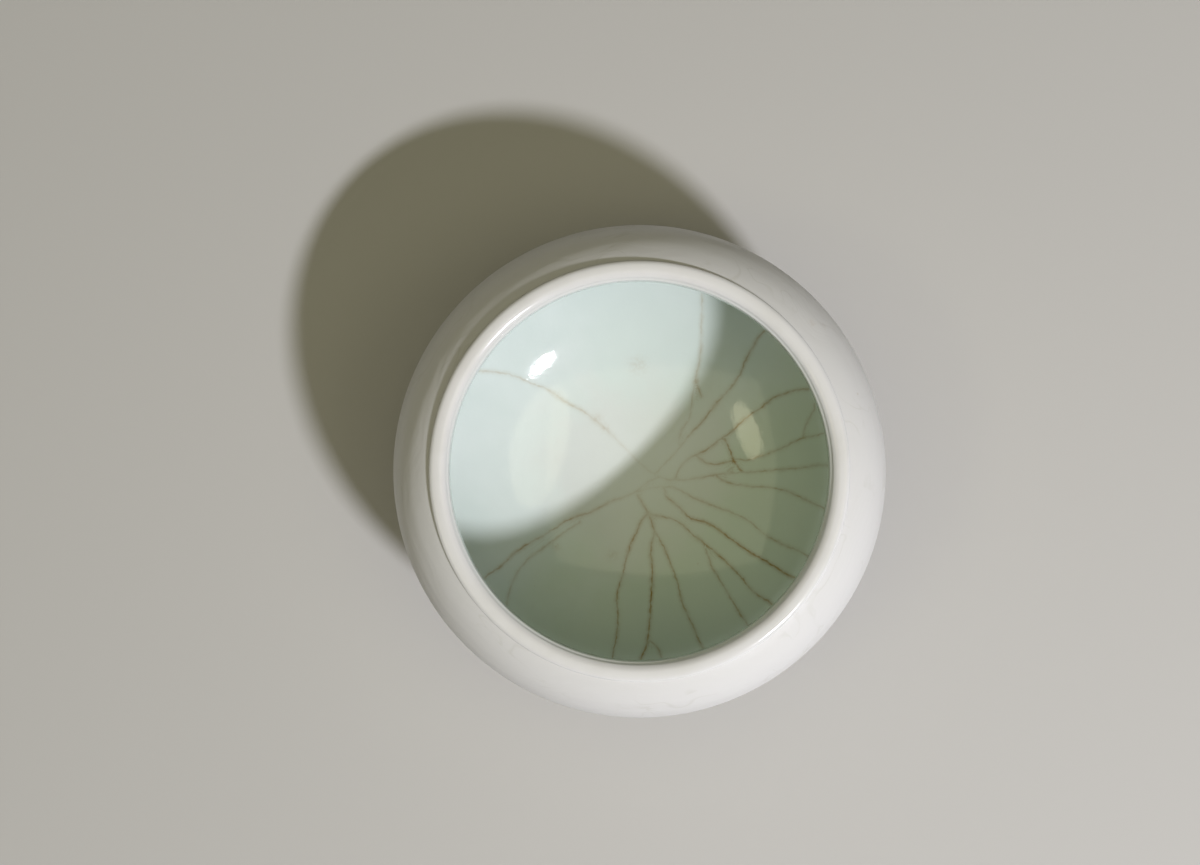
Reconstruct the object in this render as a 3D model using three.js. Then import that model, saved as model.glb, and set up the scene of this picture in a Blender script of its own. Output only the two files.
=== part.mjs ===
// Porcelain brush washer: a low, round bowl with a drawn-in shoulder and a short rolled lip.
// Lengths are in millimetres and +Z is up. The origin is on the table, under the bowl's axis.
// The clay is in four turned sections that meet on level joints, and each glaze is its own coat.

import * as THREE from "three";

// Driving sizes of the finished bowl, over its glaze
const BODY_RADIUS = 62;
const WIDEST_HEIGHT = 34.5;
const SHOULDER_HEIGHT = 23.5;
const SHOULDER_REACH = 11.5;
const WALL_THICKNESS = 4.4;
const FLOOR_THICKNESS = 4.2;
const WALL_DEPTH_AT_AXIS = 6;
const LIP_THICKNESS = 5;
const LIP_CROWN = 1.9;
const LIP_TUCK_DEGREES = 35;
const FOOT_OUTER_RADIUS = 33;
const FOOT_WIDTH = 4.6;
const FOOT_RECESS = 3.4;
const FOOT_FILLET = 2.2;
const FOOT_EDGE_ROUND = 0.7;
const GLAZE_THICKNESS = 0.45;
const INSIDE_GLAZE_LAP = 0.5;

// How full the two walls are below the widest line: 2 is an ellipse, and less is more conical
const INSIDE_FULLNESS = 1.57;
const OUTSIDE_FULLNESS = 1.85;

// How finely the curves are divided
const SEGMENTS_AROUND = 44;
const BOWL_STEPS = 8;
const SHOULDER_STEPS = 5;
const LIP_STEPS = 4;
const LAP_STEPS = 2;
const FILLET_STEPS = 2;
const EDGE_STEPS = 2;

// A fillet at the foot takes at most this share of the upright side that it rises from
const FILLET_SHARE = 0.7;

const RIGHT_ANGLE = Math.PI / 2;
const LIP_TUCK = THREE.MathUtils.degToRad(LIP_TUCK_DEGREES);

// Levels and radii that follow from the driving sizes
const bodyHeight = WIDEST_HEIGHT + SHOULDER_HEIGHT;
const floorHeight = FOOT_RECESS + FLOOR_THICKNESS;
const lipOuterRadius = BODY_RADIUS - SHOULDER_REACH;
const lipInnerRadius = lipOuterRadius - LIP_THICKNESS;
const neckClayRadius = lipInnerRadius + GLAZE_THICKNESS;
const footJointHeight = FOOT_RECESS + GLAZE_THICKNESS;
const footClayRadius = FOOT_OUTER_RADIUS - GLAZE_THICKNESS;
const footInnerRadius = FOOT_OUTER_RADIUS - FOOT_WIDTH;

function point(radius, height) {
  return new THREE.Vector2(radius, height);
}

// The lower wall's surfaces, each from its lowest level on the axis to the widest line
const glazedOutside = {
  radius: BODY_RADIUS,
  bottom: floorHeight - WALL_DEPTH_AT_AXIS,
  fullness: OUTSIDE_FULLNESS,
};
const clayOutside = {
  radius: BODY_RADIUS - GLAZE_THICKNESS,
  bottom: glazedOutside.bottom + GLAZE_THICKNESS,
  fullness: OUTSIDE_FULLNESS,
};
const glazedInside = {
  radius: BODY_RADIUS - WALL_THICKNESS,
  bottom: floorHeight,
  fullness: INSIDE_FULLNESS,
};
const clayInside = {
  radius: glazedInside.radius + GLAZE_THICKNESS,
  bottom: glazedInside.bottom - GLAZE_THICKNESS,
  fullness: INSIDE_FULLNESS,
};

// Height of a lower wall's surface at a distance from the axis
function bowlHeight(bowl, radius) {
  const inward = 1 - (radius / bowl.radius) ** 2;
  return WIDEST_HEIGHT - (WIDEST_HEIGHT - bowl.bottom) * inward ** (1 / bowl.fullness);
}

// Angle from level at which that surface climbs
function bowlSlope(bowl, radius) {
  const share = radius / bowl.radius;
  const bend = (1 - share ** 2) ** (1 / bowl.fullness - 1);
  return Math.atan((2 * share * bend * (WIDEST_HEIGHT - bowl.bottom)) / (bowl.fullness * bowl.radius));
}

// Points along a lower wall's surface, from a radius out to the widest line
function bowlPoints(bowl, startRadius) {
  const start = Math.asin(startRadius / bowl.radius);
  const points = [];
  for (let step = 0; step <= BOWL_STEPS; step += 1) {
    const turn = start + ((RIGHT_ANGLE - start) * step) / BOWL_STEPS;
    const rise = 1 - Math.cos(turn) ** (2 / bowl.fullness);
    points.push(point(bowl.radius * Math.sin(turn), bowl.bottom + (WIDEST_HEIGHT - bowl.bottom) * rise));
  }
  points[BOWL_STEPS] = point(bowl.radius, WIDEST_HEIGHT);
  return points;
}

// Points on an ellipse, whose angles run from outward (0) to up (a right angle) and on inward
function ellipsePoints(centre, halfWidth, halfHeight, from, to, steps) {
  const points = [];
  for (let step = 0; step <= steps; step += 1) {
    const angle = from + ((to - from) * step) / steps;
    points.push(point(centre.x + halfWidth * Math.cos(angle), centre.y + halfHeight * Math.sin(angle)));
  }
  return points;
}

function arcPoints(centre, radius, from, to, steps) {
  return ellipsePoints(centre, radius, radius, from, to, steps);
}

// The rolled lip: a bead whose outside tucks in below its widest point, down to the crease.
// The inside glaze laps over its inner edge, up to the angle at which the white glaze meets it.
const lipHalfWidth = LIP_THICKNESS / 2;
const lipCentre = point(lipOuterRadius - lipHalfWidth, bodyHeight - LIP_CROWN);
const glazeMeeting = Math.PI - Math.acos(1 - INSIDE_GLAZE_LAP / lipHalfWidth);
const glazedLip = lipPoints(0);
const clayLip = lipPoints(GLAZE_THICKNESS);
const glazedLap = beadPoints(0, glazeMeeting, Math.PI, LAP_STEPS);
const clayLap = beadPoints(GLAZE_THICKNESS, glazeMeeting, Math.PI, LAP_STEPS);
const crease = glazedLip[0];
const lipJointHeight = clayLip[0].y;

function beadPoints(depth, from, to, steps) {
  return ellipsePoints(lipCentre, lipHalfWidth - depth, LIP_CROWN - depth, from, to, steps);
}

// The bead from its crease to its top, and on to the meeting of the glazes
function lipPoints(depth) {
  const rise = beadPoints(depth, -LIP_TUCK, RIGHT_ANGLE, LIP_STEPS);
  return [...rise, ...beadPoints(depth, RIGHT_ANGLE, glazeMeeting, LAP_STEPS).slice(1)];
}

// The shoulder: an arc that leaves the widest line upright and ends in the crease
const shoulderRadius = shoulderArcRadius(BODY_RADIUS - crease.x, crease.y - WIDEST_HEIGHT);
const shoulderCentre = point(BODY_RADIUS - shoulderRadius, WIDEST_HEIGHT);
const shoulderClayRadius = shoulderRadius - GLAZE_THICKNESS;
const shoulderInnerRadius = shoulderRadius - WALL_THICKNESS;

function shoulderArcRadius(inward, upward) {
  return (inward ** 2 + upward ** 2) / (2 * inward);
}

function shoulderArc(radius, endAngle) {
  return arcPoints(shoulderCentre, radius, 0, endAngle, SHOULDER_STEPS);
}

// Angle at which an arc of the shoulder reaches a level, or a distance from the axis
function angleAtHeight(radius, height) {
  return Math.asin((height - shoulderCentre.y) / radius);
}

function angleAtRadius(radius, distance) {
  return Math.acos((distance - shoulderCentre.x) / radius);
}

const glazedShoulder = shoulderArc(shoulderRadius, angleAtHeight(shoulderRadius, crease.y));
const clayShoulder = shoulderArc(shoulderClayRadius, angleAtHeight(shoulderClayRadius, lipJointHeight));
const glazedUnderShoulder = innerShoulderArc(shoulderInnerRadius, lipInnerRadius);
const clayUnderShoulder = innerShoulderArc(shoulderInnerRadius + GLAZE_THICKNESS, neckClayRadius);
const shoulderClayTop = clayShoulder[SHOULDER_STEPS];

function innerShoulderArc(radius, neckRadius) {
  return shoulderArc(radius, angleAtRadius(radius, neckRadius));
}

// The outside of the lower wall, from the foot joint up its foot, round a fillet and out
const footSide = bowlHeight(glazedOutside, FOOT_OUTER_RADIUS) - footJointHeight;
const filletRadius = Math.min(FOOT_FILLET, FILLET_SHARE * footSide);
const glazedLowerWall = lowerWallPoints(glazedOutside, FOOT_OUTER_RADIUS, filletRadius);
const clayLowerWall = lowerWallPoints(clayOutside, footClayRadius, filletRadius + GLAZE_THICKNESS);

function lowerWallPoints(bowl, footRadius, fillet) {
  const slope = bowlSlope(bowl, footRadius + fillet);
  const touchRadius = footRadius + fillet * (1 - Math.sin(slope));
  const centreHeight = bowlHeight(bowl, touchRadius) - fillet * Math.cos(slope);
  const centre = point(footRadius + fillet, centreHeight);
  const bend = arcPoints(centre, fillet, Math.PI, RIGHT_ANGLE + slope, FILLET_STEPS);
  return [point(footRadius, footJointHeight), ...bend, ...bowlPoints(bowl, touchRadius).slice(1)];
}

function material(colour, roughness) {
  return new THREE.MeshStandardMaterial({ color: colour, roughness, metalness: 0 });
}

// A turned piece: its outline runs up on the outside, and ends where it began or on the axis
function turned(name, outline, finish) {
  const geometry = new THREE.LatheGeometry(outline, SEGMENTS_AROUND);
  geometry.rotateX(RIGHT_ANGLE);
  const mesh = new THREE.Mesh(geometry, finish);
  mesh.name = name;
  return mesh;
}

function turnedRing(name, outline, finish) {
  return turned(name, [...outline, outline[0]], finish);
}

// Clay section with the floor and the lower wall, up to the level joint at the widest line
function lowerBody() {
  const inside = bowlPoints(clayInside, 0).reverse();
  const outline = [point(0, footJointHeight), ...clayLowerWall, ...inside];
  return turned("lower_body", outline, material(0xd9d2c2, 0.75));
}

// Clay section that draws in from the widest line to the neck
function shoulder() {
  const outline = [
    ...clayShoulder,
    point(neckClayRadius, lipJointHeight),
    ...[...clayUnderShoulder].reverse(),
  ];
  return turnedRing("shoulder", outline, material(0xd9d2c2, 0.75));
}

// Clay core of the rolled lip, set level on the neck
function lipRing() {
  const outline = [...clayLip, ...clayLap.slice(1), point(neckClayRadius, lipJointHeight)];
  return turnedRing("lip_ring", outline, material(0xd9d2c2, 0.75));
}

// Bare biscuit ring that the bowl stands on
function footRing() {
  const edge = FOOT_EDGE_ROUND;
  const innerEdge = point(footInnerRadius + edge, edge);
  const outerEdge = point(footClayRadius - edge, edge);
  const outline = [
    ...arcPoints(innerEdge, edge, Math.PI, 3 * RIGHT_ANGLE, EDGE_STEPS),
    ...arcPoints(outerEdge, edge, -RIGHT_ANGLE, 0, EDGE_STEPS),
    point(footClayRadius, footJointHeight),
    point(footInnerRadius, footJointHeight),
  ];
  return turnedRing("foot_ring", outline, material(0xb99c78, 0.85));
}

// White coat over the outside, from the foot joint to the crease
function exteriorGlaze() {
  const outside = [...glazedLowerWall, ...glazedShoulder.slice(1)];
  const clay = [...clayLowerWall, ...clayShoulder.slice(1)].reverse();
  return turnedRing("exterior_glaze", [...outside, ...clay], material(0xdddddb, 0.35));
}

// White gloss coat over the lip, from the crease to the edge of the inside glaze
function lipGlaze() {
  const outline = [...glazedLip, ...[...clayLip].reverse(), shoulderClayTop];
  return turnedRing("lip_glaze", outline, material(0xe0e0dd, 0.15));
}

// Pale celadon coat that lines the inside, up the neck and over the lip's inner edge
function interiorGlaze() {
  const clay = [...bowlPoints(clayInside, 0), ...clayUnderShoulder.slice(1)];
  const inside = [...bowlPoints(glazedInside, 0), ...glazedUnderShoulder.slice(1)].reverse();
  const lap = [...[...clayLap].reverse(), ...glazedLap];
  return turned("interior_glaze", [...clay, ...lap, ...inside], material(0xd3ded9, 0.12));
}

// Disc of glaze on the underside, within the foot ring
function baseGlaze() {
  const outline = [
    point(0, FOOT_RECESS),
    point(footInnerRadius, FOOT_RECESS),
    point(footInnerRadius, footJointHeight),
    point(0, footJointHeight),
  ];
  return turned("base_glaze", outline, material(0xd9dfd3, 0.2));
}

const washer = new THREE.Group();
washer.add(
  footRing(),
  lowerBody(),
  shoulder(),
  lipRing(),
  baseGlaze(),
  exteriorGlaze(),
  lipGlaze(),
  interiorGlaze(),
);

export default washer;
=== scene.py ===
"""A porcelain brush washer: finely turned clay and glazes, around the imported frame."""

import math

import bpy
import numpy as np
from mathutils import Matrix, Vector


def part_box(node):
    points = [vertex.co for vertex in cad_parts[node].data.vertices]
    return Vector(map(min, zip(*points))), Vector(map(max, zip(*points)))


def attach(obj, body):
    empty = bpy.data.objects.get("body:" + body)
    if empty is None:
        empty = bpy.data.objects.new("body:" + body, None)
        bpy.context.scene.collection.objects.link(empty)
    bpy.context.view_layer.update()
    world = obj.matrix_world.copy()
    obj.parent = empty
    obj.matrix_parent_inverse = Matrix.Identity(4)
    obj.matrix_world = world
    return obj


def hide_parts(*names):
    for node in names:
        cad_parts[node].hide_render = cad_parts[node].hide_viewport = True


bl_info = {
    "name": "Brush washer",
    "version": (1, 0, 0),
    "blender": (4, 5, 0),
    "location": "View3D > Sidebar > Washer",
    "description": "Builds a glazed brush washer with a crackled inside around its solid model",
    "category": "Add Mesh",
}

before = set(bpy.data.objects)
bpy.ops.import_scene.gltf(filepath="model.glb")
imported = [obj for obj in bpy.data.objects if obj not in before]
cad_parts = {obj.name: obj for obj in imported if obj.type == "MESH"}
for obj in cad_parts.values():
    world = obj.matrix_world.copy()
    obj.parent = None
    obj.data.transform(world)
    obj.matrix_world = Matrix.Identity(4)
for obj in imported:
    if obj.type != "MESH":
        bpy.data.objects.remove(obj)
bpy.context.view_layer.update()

MM = 0.001
BODY = "root"


def reach(node):
    """How far a node's solid stands from the axis, in millimetres."""
    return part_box(node)[1].x / MM


def lowest(node):
    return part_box(node)[0].z / MM


def highest(node):
    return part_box(node)[1].z / MM


# Sizes taken from the frame, in millimetres
BODY_RADIUS = reach("exterior_glaze")
BODY_HEIGHT = highest("lip_glaze")
LIP_RADIUS = reach("lip_glaze")
WIDEST_HEIGHT = lowest("shoulder")
FOOT_JOINT = highest("foot_ring")
FOOT_RECESS = lowest("base_glaze")
FOOT_INNER_RADIUS = reach("base_glaze")
GLAZE = FOOT_JOINT - FOOT_RECESS
FOOT_RADIUS = reach("foot_ring") + GLAZE
INSIDE_RADIUS = reach("interior_glaze") - GLAZE
FLOOR_HEIGHT = lowest("interior_glaze") + GLAZE

# How finely the pieces are divided: turns round the axis, and rows with steps in millimetres
AROUND = 432
AROUND_CLAY = 120
AROUND_INSIDE = 480
ROW_STEP = 0.56
EDGE_STEP = 0.07
END_STEP = 0.02
BACK_STEP = 2.5
BACK_ROWS = 14
BASE_RINGS = 40
CRACK_STEP = 0.7

# The seam where the two glazes meet on the lip: its width and the height of the bead on each
# side of it, in millimetres, how many widths away a bead lies, and how much of the seam's shade
# the glazes take
SEAM_WIDTH = 0.26
LIP_BEAD = 0.02
INSIDE_BEAD = 0.12
BEAD_PLACE = 2.4
SEAM_SHADE = 0.05

# The inside glaze is thin at its edge, where this share of the lip's white shows through, and
# thickens between these distances from it, in millimetres
EDGE_WHITE = 0.8
EDGE_THINS = (0.6, 2.8)

# The turning ripples in the outside: how far apart they are, and over what height they die out
# at the widest line, in millimetres
RIPPLE_SPACING = 3.4
RIPPLE_FADE = 4

# Beyond this distance from a crack, in millimetres, the glaze is unmarked
CRACK_REACH = 3.0


def colour(code):
    """Linear colour of an sRGB hex code."""
    channels = [int(code[start : start + 2], 16) / 255 for start in (1, 3, 5)]
    return [c / 12.92 if c <= 0.04045 else ((c + 0.055) / 1.055) ** 2.4 for c in channels]


def length_property(name, description, value):
    return bpy.props.FloatProperty(
        name=name, description=description, default=value * MM, unit="LENGTH", subtype="DISTANCE"
    )


def colour_property(name, description, code):
    return bpy.props.FloatVectorProperty(
        name=name, description=description, default=colour(code), size=3, subtype="COLOR"
    )


class WasherSizes(bpy.types.PropertyGroup):
    """Sizes that the frame's boxes don't give."""

    lip_thickness: length_property("Lip thickness", "Width of the rolled lip", 4.8)
    lip_outer: length_property("Lip outer part", "Width of the lip outside its top line", 2.1)
    lip_crown: length_property("Lip crown", "Rise of the lip over its outer widest line", 1.35)
    lip_crown_inside: length_property("Inner crown", "Rise of the lip over its inner line", 2.6)
    lip_fullness: bpy.props.FloatProperty(
        name="Lip fullness", description="Shape of the lip outside: 2 is an ellipse", default=2.7
    )
    shoulder_radius: length_property("Shoulder radius", "Reach and rise of the shoulder", 24.9)
    shoulder_fullness: bpy.props.FloatProperty(
        name="Shoulder fullness", description="Shape of the shoulder: 2 is round", default=2.3
    )
    glaze_lap: length_property("Glaze lap", "How far the inside glaze laps over the lip", 0.5)
    seam_depth: length_property("Seam depth", "Dip where the two glazes meet on the lip", 0.07)
    foot_fillet: length_property("Foot fillet", "Round between the foot and the wall", 2.2)
    foot_edge: length_property("Foot edge", "Round on the foot ring's edges", 0.7)
    axis_depth: length_property("Wall depth", "Depth of the wall's curve under the floor", 6)
    inside_fullness: bpy.props.FloatProperty(
        name="Inside fullness", description="Shape of the inside: 2 is an ellipse", default=1.57
    )
    outside_fullness: bpy.props.FloatProperty(
        name="Outside fullness", description="Shape of the outside: 2 is an ellipse", default=1.85
    )
    ripple: length_property("Turning ripple", "Height of the ripples in the outside", 0.035)


class WasherColours(bpy.types.PropertyGroup):
    """Colours of the clay, the glazes and the stains in them."""

    celadon: colour_property("Celadon", "Inside glaze where it lies thin", "#D7E0DE")
    celadon_deep: colour_property("Deep celadon", "Inside glaze where it pooled", "#C8D5D1")
    # Painted shade, partly tea stain: a warm olive tint for the side of the inside that lies in
    # shade
    tea_and_shade_tint: colour_property("Tea tint", "Inside glaze on the side where tea stood", "#BAC8A6")
    # Partly a stain, partly painted shade: a greyer, darker tone for the middle of the floor
    floor_stain_and_shade: colour_property("Centre stain", "Stain in the middle of the floor", "#CFD0CE")
    crack_stain: colour_property("Crack stain", "Tint of tea and ink in a crack", "#C09A5E")
    speck: colour_property("Speck", "Iron specks in the glazes", "#A8946A")
    seam: colour_property("Seam", "Shade where the two glazes meet on the lip", "#9DA19A")
    white: colour_property("White glaze", "Outside glaze", "#D9D9D8")
    white_vein: colour_property("Vein", "Grey hairlines in the outside glaze", "#C6C6BF")
    lip: colour_property("Lip glaze", "Glaze on the lip", "#E0E0E0")
    biscuit: colour_property("Biscuit", "Bare clay of the foot", "#CDB592")
    biscuit_flash: colour_property("Flashing", "Rust tint of the bare clay", "#B58A60")
    clay: colour_property("Clay", "Clay under the glaze", "#D9D2C2")
    floor: colour_property("Floor", "Studio floor", "#C2C1BF")


class WasherStage(bpy.types.PropertyGroup):
    """The camera's height and lens, and the strength and tint of the light."""

    camera_height: length_property("Camera height", "Height over the floor", 430)
    camera_lens: bpy.props.FloatProperty(
        name="Lens", description="Focal length in millimetres", default=46.7
    )
    key_power: bpy.props.FloatProperty(
        name="Key power", description="Power of the main lamp", default=16.3, unit="POWER"
    )
    right_power: bpy.props.FloatProperty(
        name="Right power", description="Power of the right weak lamp", default=0.9, unit="POWER"
    )
    left_power: bpy.props.FloatProperty(
        name="Left power", description="Power of the left weak lamp", default=0.42, unit="POWER"
    )
    overhead_power: bpy.props.FloatProperty(
        name="Overhead power", description="Power of the panel overhead", default=6.6, unit="POWER"
    )
    ambient: bpy.props.FloatProperty(
        name="Ambient", description="Strength of the light from all round", default=0.004
    )
    key_light: colour_property("Key light", "Tint of the main lamp", "#F9F8FF")
    weak_light: colour_property("Weak light", "Tint of all the other light", "#FBF5CE")


def sizes():
    return bpy.context.scene.washer_sizes


def colours():
    return bpy.context.scene.washer_colours


def wall_height(radius, bottom, fullness, distance):
    """Height of a lower wall: its depth under the widest line is the root, of the order of its
    fullness, of one less the squared share of the radius, times the depth on the axis."""
    inward = np.maximum(1 - (distance / radius) ** 2, 0)
    return WIDEST_HEIGHT - (WIDEST_HEIGHT - bottom) * inward ** (1 / fullness)


def wall_slope(radius, bottom, fullness, distance):
    """Angle from level of that wall, from the derivative of its height."""
    share = distance / radius
    bend = (1 - share**2) ** (1 / fullness - 1)
    return math.atan(2 * share * bend * (WIDEST_HEIGHT - bottom) / (fullness * radius))


def wall_curve(radius, bottom, fullness, start, count):
    """Points of a lower wall from a distance out to the widest line, at even turns of an angle
    whose sine is the share of the radius."""
    turn = np.linspace(math.asin(start / radius), math.pi / 2, count)
    distance = radius * np.sin(turn)
    return np.stack([distance, wall_height(radius, bottom, fullness, distance)], 1)


def ellipse(centre, half_width, half_height, start, end, count):
    """Points on an ellipse between two angles, from outward (0) to up (a right angle)."""
    angle = np.linspace(start, end, count)
    across = centre[0] + half_width * np.cos(angle)
    return np.stack([across, centre[1] + half_height * np.sin(angle)], 1)


def full_curve(centre, size, fullness, end, count):
    """Points of a curve from outward (0) towards up: its size across times the cosine, and its
    size up times the sine, each raised to two over its fullness."""
    angle = np.linspace(0, end, count)
    across = size[0] * np.abs(np.cos(angle)) ** (2 / fullness)
    rise = size[1] * np.sin(angle) ** (2 / fullness)
    return np.stack([centre[0] + across, centre[1] + rise], 1)


def arc(centre, radius, start, end, count):
    return ellipse(centre, radius, radius, start, end, count)


def chain(*parts):
    """Join stretches of an outline, leaving out points that repeat the one before."""
    points = np.concatenate([np.atleast_2d(part) for part in parts])
    step = np.linalg.norm(np.diff(points, axis=0), axis=1)
    return points[np.concatenate([[True], step > 1e-6])]


def even_rows(points, spacing):
    """The same curve with points a spacing apart along its length."""
    run = arc_length(points)
    rows = max(2, int(run[-1] / spacing) + 1)
    return resample(points, np.linspace(0, run[-1], rows))


def firm_end(points):
    """The same curve with one more point just before its end, so that the face turned away
    there doesn't change the shade of the last row."""
    last = points[-2] - points[-1]
    near = points[-1] + END_STEP * last / np.linalg.norm(last)
    return np.insert(points, -1, near, axis=0)


def arc_length(points):
    steps = np.linalg.norm(np.diff(points, axis=0), axis=1)
    return np.concatenate([[0], np.cumsum(steps)])


def resample(points, marks):
    run = arc_length(points)
    return np.stack([np.interp(marks, run, column) for column in points.T], 1)


class BowlProfile:
    """The bowl's outlines as distance from the axis and height, in millimetres.

    Within its top line the lip is part of an ellipse. Outside it, the lip and the shoulder are
    curves whose shares across and up, each raised to the fullness, add up to one. The shoulder
    leaves the widest line upright and ends beside the lip, in the crease. The lower walls are the
    curves of wall_height. A coat's clay side is the same curve, moved by the thickness of the
    glaze. The inside glaze laps over the lip's inner edge.
    """

    def __init__(self):
        given = sizes()
        lip_thickness = given.lip_thickness / MM
        self.lip_outer = given.lip_outer / MM
        self.lip_inner = lip_thickness - self.lip_outer
        self.crown = given.lip_crown / MM
        self.crown_inside = given.lip_crown_inside / MM
        self.lip_fullness = given.lip_fullness
        self.shoulder_fullness = given.shoulder_fullness
        self.foot_fillet = given.foot_fillet / MM
        self.foot_edge = given.foot_edge / MM
        self.seam_depth = given.seam_depth / MM
        self.outside_bottom = FLOOR_HEIGHT - given.axis_depth / MM
        self.inside_fullness = given.inside_fullness
        self.outside_fullness = given.outside_fullness
        self.neck_radius = LIP_RADIUS - lip_thickness
        self.lip_line = LIP_RADIUS - self.lip_outer
        self.lip_middle = np.array([self.lip_line, BODY_HEIGHT - self.crown_inside])
        lap_share = given.glaze_lap / MM / self.lip_inner
        self.meeting_angle = math.pi - math.acos(1 - lap_share)
        self.meeting = self.inner_edge(0)[-1]
        self.shoulder_radius = given.shoulder_radius / MM
        self.shoulder_centre = np.array([BODY_RADIUS - self.shoulder_radius, WIDEST_HEIGHT])
        self.lip_joint = self.shoulder(GLAZE)[-1][1]

    def lip_outside(self, depth, count):
        """The lip from its widest line up to its top line, at a depth under its surface."""
        size = (self.lip_outer - depth, self.crown - depth)
        centre = (self.lip_line, BODY_HEIGHT - self.crown)
        return full_curve(centre, size, self.lip_fullness, math.pi / 2, count)

    def lip_inside(self, depth, start, end, count):
        """The lip on the inside of its top line, between two angles."""
        half_width, crown = self.lip_inner - depth, self.crown_inside - depth
        return ellipse(self.lip_middle, half_width, crown, start, end, count)

    def lip(self, depth, count=40):
        """The lip from the crease over to where the glazes meet."""
        inside = self.lip_inside(depth, math.pi / 2, self.meeting_angle, count)
        return chain(self.shoulder(depth)[-1], self.lip_outside(depth, count), inside)

    def inner_edge(self, depth, count=16):
        """The lip from its inner side up to where the glazes meet."""
        return self.lip_inside(depth, math.pi, self.meeting_angle, count)

    def with_seam(self, outline, bead):
        """Draw a coat in along the seam: a dip where the glazes meet and a round bead beside it,
        each a bell curve of the distance from the meeting, towards the middle of the lip."""
        away = self.seam_distance(outline)[:, None]
        dip = self.seam_depth * np.exp(-((away / SEAM_WIDTH) ** 2))
        rise = bead * np.exp(-((away / SEAM_WIDTH - BEAD_PLACE) ** 2))
        inward = self.lip_middle - outline
        inward /= np.linalg.norm(inward, axis=1)[:, None]
        return outline + (dip - rise) * inward

    def seam_distance(self, outline):
        return np.linalg.norm(outline - self.meeting, axis=1)

    def seam_shade(self, outline):
        """How much of the seam's shade each point takes: a bell curve of its distance, a little
        wider than the dip."""
        share = self.seam_distance(outline) / (1.3 * SEAM_WIDTH)
        return SEAM_SHADE * np.exp(-(share**2))

    def shoulder(self, depth, count=50):
        """The outside above the widest line, up to the crease beside the lip."""
        radius = self.shoulder_radius - depth
        share = (LIP_RADIUS - depth - self.shoulder_centre[0]) / radius
        end = math.acos(share ** (self.shoulder_fullness / 2))
        size = (radius, radius)
        return full_curve(self.shoulder_centre, size, self.shoulder_fullness, end, count)

    def under_shoulder(self, depth, count=40):
        """The inside above the widest line, at a depth under its glaze, up to the neck."""
        wall = BODY_RADIUS - INSIDE_RADIUS
        radius = self.shoulder_radius - wall + depth
        end = math.acos((self.neck_radius + depth - self.shoulder_centre[0]) / radius)
        return arc(self.shoulder_centre, radius, 0, end, count)

    def lower_inside(self, depth, count=120):
        bottom = FLOOR_HEIGHT - depth
        return wall_curve(INSIDE_RADIUS + depth, bottom, self.inside_fullness, 0, count)

    def lower_outside(self, depth, count=80):
        """The foot's side, its fillet and the lower wall, from the foot joint outward."""
        wall = (BODY_RADIUS - depth, self.outside_bottom + depth, self.outside_fullness)
        foot = FOOT_RADIUS - depth
        fillet = self.foot_fillet + depth
        slope = wall_slope(*wall, foot + fillet)
        touch = foot + fillet * (1 - math.sin(slope))
        centre = (foot + fillet, float(wall_height(*wall, touch)) - fillet * math.cos(slope))
        bend = arc(centre, fillet, math.pi, math.pi / 2 + slope, 12)
        return chain([foot, FOOT_JOINT], bend, wall_curve(*wall, touch, count))


def revolve(outline, around):
    """Turn an outline about the axis: its point (r, z) goes to (r cos t, r sin t, z) at each
    turn t. Returns the points as a grid, in metres, with one row for each outline point."""
    turn = np.arange(around) * (2 * math.pi / around)
    distance, height = outline[:, :1], outline[:, 1:]
    flat = [distance * np.cos(turn), distance * np.sin(turn), height + 0 * turn]
    return np.stack(flat, -1) * MM


def number_points(rows, around, on_axis):
    """The number of each grid point in the mesh. A row that lies on the axis is one point."""
    number = np.arange(rows * around).reshape(rows, around)
    if on_axis:
        number -= around - 1
        number[0] = 0
        number[-1] = number[-1, 0]
    return number


def grid_faces(number, on_axis):
    """Faces between neighbouring rows and turns. A closed ring also joins its last row to its
    first, and an outline that ends on the axis has a fan of triangles there."""
    beside = np.roll(number, -1, axis=1)
    above, beside_above = np.roll(number, -1, axis=0), np.roll(beside, -1, axis=0)
    quads = np.stack([number, beside, beside_above, above], -1)
    if not on_axis:
        return quads.reshape(-1, 4).tolist()
    first_fan = quads[0][:, [0, 2, 3]]
    last_fan = quads[-2][:, [0, 1, 2]]
    return quads[1:-2].reshape(-1, 4).tolist() + first_fan.tolist() + last_fan.tolist()


def add_piece(name, grid, material, replaced, on_axis, marks=None):
    """Make a piece of the bowl from a grid of points, in place of the node it stands for. Each
    of its marks is one value or one vector for each grid point, for the material to read."""
    number = number_points(*grid.shape[:2], on_axis)
    kept = np.unique(number, return_index=True)[1]
    mesh = bpy.data.meshes.new(name)
    mesh.from_pydata(grid.reshape(-1, 3)[kept].tolist(), [], grid_faces(number, on_axis))
    for label, values in (marks or {}).items():
        kind, field = ("FLOAT_VECTOR", "vector") if values.ndim == 3 else ("FLOAT", "value")
        flat = values.reshape(number.size, -1)[kept].astype(np.float32)
        mesh.attributes.new(label, kind, "POINT").data.foreach_set(field, flat.ravel())
    mesh.shade_smooth()
    mesh.materials.append(material)
    mesh.validate()
    piece = bpy.data.objects.new(name, mesh)
    bpy.context.scene.collection.objects.link(piece)
    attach(piece, BODY)
    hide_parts(replaced)
    return piece


def add_node(tree, kind, inputs=None, **settings):
    """Add one shader node, with its settings, and its inputs' values or links. A node that is
    given as an input stands for its first output in use."""
    node = tree.nodes.new(kind)
    for name, value in settings.items():
        setattr(node, name, value)
    for name, value in (inputs or {}).items():
        socket = node.inputs[name]
        if isinstance(value, bpy.types.Node):
            value = first_output(value)
        if isinstance(value, bpy.types.NodeSocket):
            tree.links.new(value, socket)
        elif socket.type == "RGBA" and len(value) == 3:
            socket.default_value = (*value, 1)
        else:
            socket.default_value = value
    return node


def first_output(node):
    return next(output for output in node.outputs if output.enabled)


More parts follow.
